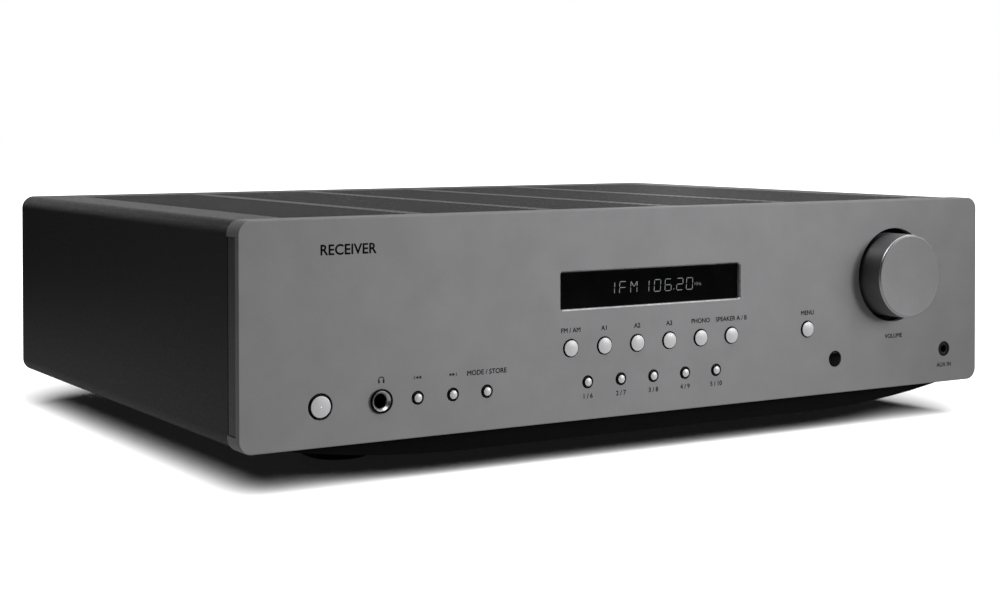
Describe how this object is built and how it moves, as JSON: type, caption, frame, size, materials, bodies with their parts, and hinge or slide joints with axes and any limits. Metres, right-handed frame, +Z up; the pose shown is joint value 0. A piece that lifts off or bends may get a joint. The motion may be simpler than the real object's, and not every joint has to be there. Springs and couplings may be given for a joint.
{
  "type": "stereo receiver",
  "caption": "Full-width hi-fi stereo receiver with a grey metal front panel, volume knob, push buttons, display window, vented black case and rear terminals.",
  "frame": {"origin": "on the surface that the feet stand on, under the centre of the whole outline from the knob's face to the speaker terminals' tips", "axes": "+X to the right of someone facing the front panel, +Y from the front panel towards the rear panel, +Z up"},
  "size_m": [0.43, 0.34, 0.118],
  "materials": {
    "panel_aluminium": "fine bead-blasted, grey anodised",
    "case_steel": "satin black powder coat",
    "black_plastic": "moulded, fine spark texture",
    "rubber": "matt",
    "smoked_lens": "polished, nearly opaque",
    "display_glass": "polished",
    "circuit_board": "solder resist",
    "zinc_steel": "zinc plated",
    "heatsink_aluminium": "black anodised",
    "nickel": "nickel plated",
    "transformer_winding": "steel core under copper wire and tape",
    "capacitor_sleeve": "shrink sleeve",
    "button_silver": "satin silver paint",
    "terminal_red": "moulded",
    "terminal_black": "moulded"
  },
  "bodies": {
    "chassis": {"front_panel": "panel_aluminium", "front_subframe": "black_plastic", "top_cover": "case_steel", "base_tray": "case_steel", "rear_panel": "case_steel", "front_plinth": "black_plastic", "foot_front_left": "rubber", "foot_front_right": "rubber", "foot_rear_left": "rubber", "foot_rear_right": "rubber", "display_window": "smoked_lens", "display_tube": "display_glass", "control_board": "circuit_board", "infrared_window": "smoked_lens", "headphone_socket": "black_plastic", "aux_socket": "black_plastic", "knob_recess": "black_plastic", "volume_encoder": "zinc_steel", "mains_inlet": "black_plastic", "aerial_block": "black_plastic", "phono_block_inputs": "black_plastic", "phono_block_outputs": "black_plastic", "speaker_block": "black_plastic", "toroidal_transformer": "transformer_winding", "heatsink": "heatsink_aluminium", "power_transistors": "black_plastic", "amplifier_board": "circuit_board", "smoothing_capacitor_left": "capacitor_sleeve", "smoothing_capacitor_right": "capacitor_sleeve", "tuner_module": "zinc_steel"},
    "volume": {"volume_knob": "panel_aluminium", "volume_shaft": "zinc_steel"},
    "power_button": {"power_button": "button_silver"},
    "skip_back_button": {"skip_back_button": "button_silver"},
    "skip_forward_button": {"skip_forward_button": "button_silver"},
    "mode_button": {"mode_button": "button_silver"},
    "menu_button": {"menu_button": "button_silver"},
    "source_button_1": {"source_button_1": "button_silver"},
    "source_button_2": {"source_button_2": "button_silver"},
    "source_button_3": {"source_button_3": "button_silver"},
    "source_button_4": {"source_button_4": "button_silver"},
    "source_button_5": {"source_button_5": "button_silver"},
    "source_button_6": {"source_button_6": "button_silver"},
    "preset_button_1": {"preset_button_1": "button_silver"},
    "preset_button_2": {"preset_button_2": "button_silver"},
    "preset_button_3": {"preset_button_3": "button_silver"},
    "preset_button_4": {"preset_button_4": "button_silver"},
    "preset_button_5": {"preset_button_5": "button_silver"},
    "power_rocker": {"power_rocker": "black_plastic"},
    "aerial_lever_left": {"aerial_lever_left": "black_plastic"},
    "aerial_lever_right": {"aerial_lever_right": "black_plastic"},
    "earth_nut": {"earth_nut": "nickel"},
    "speaker_cap_a1": {"speaker_cap_a1": "terminal_black"},
    "speaker_cap_a2": {"speaker_cap_a2": "terminal_red"},
    "speaker_cap_a3": {"speaker_cap_a3": "terminal_red"},
    "speaker_cap_a4": {"speaker_cap_a4": "terminal_black"},
    "speaker_cap_b1": {"speaker_cap_b1": "terminal_black"},
    "speaker_cap_b2": {"speaker_cap_b2": "terminal_red"},
    "speaker_cap_b3": {"speaker_cap_b3": "terminal_red"},
    "speaker_cap_b4": {"speaker_cap_b4": "terminal_black"}
  },
  "joints": [
    {"name": "volume_turn", "type": "hinge", "parent": "chassis", "child": "volume", "pos_m": [0.1546, -0.1575, 0.0789], "axis": [0, 1, 0], "continuous": true},
    {"name": "power_press", "type": "slide", "parent": "chassis", "child": "power_button", "axis": [0, 1, 0], "range_m": [0, 0.001], "stiffness_N_per_m": 1500},
    {"name": "skip_back_press", "type": "slide", "parent": "chassis", "child": "skip_back_button", "axis": [0, 1, 0], "range_m": [0, 0.001], "stiffness_N_per_m": 1500},
    {"name": "skip_forward_press", "type": "slide", "parent": "chassis", "child": "skip_forward_button", "axis": [0, 1, 0], "range_m": [0, 0.001], "stiffness_N_per_m": 1500},
    {"name": "mode_press", "type": "slide", "parent": "chassis", "child": "mode_button", "axis": [0, 1, 0], "range_m": [0, 0.001], "stiffness_N_per_m": 1500},
    {"name": "menu_press", "type": "slide", "parent": "chassis", "child": "menu_button", "axis": [0, 1, 0], "range_m": [0, 0.001], "stiffness_N_per_m": 1500},
    {"name": "source_1_press", "type": "slide", "parent": "chassis", "child": "source_button_1", "axis": [0, 1, 0], "range_m": [0, 0.001], "stiffness_N_per_m": 1500},
    {"name": "source_2_press", "type": "slide", "parent": "chassis", "child": "source_button_2", "axis": [0, 1, 0], "range_m": [0, 0.001], "stiffness_N_per_m": 1500},
    {"name": "source_3_press", "type": "slide", "parent": "chassis", "child": "source_button_3", "axis": [0, 1, 0], "range_m": [0, 0.001], "stiffness_N_per_m": 1500},
    {"name": "source_4_press", "type": "slide", "parent": "chassis", "child": "source_button_4", "axis": [0, 1, 0], "range_m": [0, 0.001], "stiffness_N_per_m": 1500},
    {"name": "source_5_press", "type": "slide", "parent": "chassis", "child": "source_button_5", "axis": [0, 1, 0], "range_m": [0, 0.001], "stiffness_N_per_m": 1500},
    {"name": "source_6_press", "type": "slide", "parent": "chassis", "child": "source_button_6", "axis": [0, 1, 0], "range_m": [0, 0.001], "stiffness_N_per_m": 1500},
    {"name": "preset_1_press", "type": "slide", "parent": "chassis", "child": "preset_button_1", "axis": [0, 1, 0], "range_m": [0, 0.001], "stiffness_N_per_m": 1500},
    {"name": "preset_2_press", "type": "slide", "parent": "chassis", "child": "preset_button_2", "axis": [0, 1, 0], "range_m": [0, 0.001], "stiffness_N_per_m": 1500},
    {"name": "preset_3_press", "type": "slide", "parent": "chassis", "child": "preset_button_3", "axis": [0, 1, 0], "range_m": [0, 0.001], "stiffness_N_per_m": 1500},
    {"name": "preset_4_press", "type": "slide", "parent": "chassis", "child": "preset_button_4", "axis": [0, 1, 0], "range_m": [0, 0.001], "stiffness_N_per_m": 1500},
    {"name": "preset_5_press", "type": "slide", "parent": "chassis", "child": "preset_button_5", "axis": [0, 1, 0], "range_m": [0, 0.001], "stiffness_N_per_m": 1500},
    {"name": "power_rocker_tip", "type": "hinge", "parent": "chassis", "child": "power_rocker", "pos_m": [-0.18, 0.142, 0.088], "axis": [-1, 0, 0], "range_deg": [0, 22]},
    {"name": "aerial_lever_left_press", "type": "hinge", "parent": "chassis", "child": "aerial_lever_left", "pos_m": [0.0508, 0.1435, 0.0897], "axis": [-1, 0, 0], "range_deg": [0, 25], "stiffness_Nm_per_rad": 0.3},
    {"name": "aerial_lever_right_press", "type": "hinge", "parent": "chassis", "child": "aerial_lever_right", "pos_m": [0.0402, 0.1435, 0.0897], "axis": [-1, 0, 0], "range_deg": [0, 25], "stiffness_Nm_per_rad": 0.3},
    {"name": "earth_nut_turn", "type": "hinge", "parent": "chassis", "child": "earth_nut", "pos_m": [0.194, 0.1495, 0.1], "axis": [0, 1, 0], "range_deg": [0, 720]},
    {"name": "speaker_cap_a1_turn", "type": "hinge", "parent": "chassis", "child": "speaker_cap_a1", "pos_m": [-0.12, 0.1595, 0.082], "axis": [0, 1, 0], "range_deg": [0, 1080]},
    {"name": "speaker_cap_a2_turn", "type": "hinge", "parent": "chassis", "child": "speaker_cap_a2", "pos_m": [-0.096, 0.1595, 0.082], "axis": [0, 1, 0], "range_deg": [0, 1080]},
    {"name": "speaker_cap_a3_turn", "type": "hinge", "parent": "chassis", "child": "speaker_cap_a3", "pos_m": [-0.06, 0.1595, 0.082], "axis": [0, 1, 0], "range_deg": [0, 1080]},
    {"name": "speaker_cap_a4_turn", "type": "hinge", "parent": "chassis", "child": "speaker_cap_a4", "pos_m": [-0.036, 0.1595, 0.082], "axis": [0, 1, 0], "range_deg": [0, 1080]},
    {"name": "speaker_cap_b1_turn", "type": "hinge", "parent": "chassis", "child": "speaker_cap_b1", "pos_m": [-0.12, 0.1595, 0.054], "axis": [0, 1, 0], "range_deg": [0, 1080]},
    {"name": "speaker_cap_b2_turn", "type": "hinge", "parent": "chassis", "child": "speaker_cap_b2", "pos_m": [-0.096, 0.1595, 0.054], "axis": [0, 1, 0], "range_deg": [0, 1080]},
    {"name": "speaker_cap_b3_turn", "type": "hinge", "parent": "chassis", "child": "speaker_cap_b3", "pos_m": [-0.06, 0.1595, 0.054], "axis": [0, 1, 0], "range_deg": [0, 1080]},
    {"name": "speaker_cap_b4_turn", "type": "hinge", "parent": "chassis", "child": "speaker_cap_b4", "pos_m": [-0.036, 0.1595, 0.054], "axis": [0, 1, 0], "range_deg": [0, 1080]}
  ]
}
